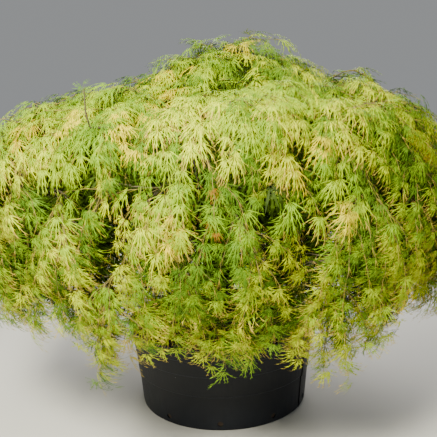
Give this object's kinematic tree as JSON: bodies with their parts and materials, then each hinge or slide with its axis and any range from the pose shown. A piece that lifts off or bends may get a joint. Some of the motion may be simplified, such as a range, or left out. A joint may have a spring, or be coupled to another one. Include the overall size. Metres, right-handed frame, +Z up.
{
  "type": "potted laceleaf japanese maple",
  "caption": "Weeping mound-shaped garden maple with finely cut lime-green leaves, in a wide round black nursery tub that stands on its flat underside.",
  "frame": {"origin": "centre of the tub's flat underside, on the surface that the plant stands on", "axes": "+Z up, -Y towards the picture's camera, +X to the right as seen from there"},
  "size_m": [2.5015, 2.4508, 1.885],
  "materials": {
    "tub_plastic": "satin",
    "bark_mix": "matte",
    "bark": "matte",
    "bough_bark": "matte",
    "leaf_lime": "matte",
    "leaf_green": "matte",
    "leaf_skirt": "matte"
  },
  "bodies": {
    "root": {"tub": "tub_plastic", "potting_mix": "bark_mix", "trunk": "bark", "bough_leader": "bough_bark", "bough_upper_1": "bough_bark", "bough_upper_2": "bough_bark", "bough_upper_3": "bough_bark", "bough_upper_4": "bough_bark", "bough_upper_5": "bough_bark", "bough_upper_6": "bough_bark", "bough_lower_1": "bough_bark", "bough_lower_2": "bough_bark", "bough_lower_3": "bough_bark", "bough_lower_4": "bough_bark", "bough_lower_5": "bough_bark", "bough_lower_6": "bough_bark", "foliage_cap": "leaf_lime", "foliage_upper_1": "leaf_lime", "foliage_upper_2": "leaf_lime", "foliage_upper_3": "leaf_lime", "foliage_upper_4": "leaf_lime", "foliage_upper_5": "leaf_lime", "foliage_upper_6": "leaf_lime", "foliage_middle_1": "leaf_green", "foliage_middle_2": "leaf_green", "foliage_middle_3": "leaf_green", "foliage_middle_4": "leaf_green", "foliage_middle_5": "leaf_green", "foliage_middle_6": "leaf_green", "foliage_middle_7": "leaf_green", "foliage_middle_8": "leaf_green", "foliage_middle_9": "leaf_green", "foliage_middle_10": "leaf_green", "foliage_skirt_1": "leaf_skirt", "foliage_skirt_2": "leaf_skirt", "foliage_skirt_3": "leaf_skirt", "foliage_skirt_4": "leaf_skirt", "foliage_skirt_5": "leaf_skirt", "foliage_skirt_6": "leaf_skirt", "foliage_skirt_7": "leaf_skirt", "foliage_skirt_8": "leaf_skirt", "foliage_skirt_9": "leaf_skirt", "foliage_skirt_10": "leaf_skirt", "foliage_skirt_11": "leaf_skirt", "foliage_skirt_12": "leaf_skirt"}
  },
  "joints": []
}
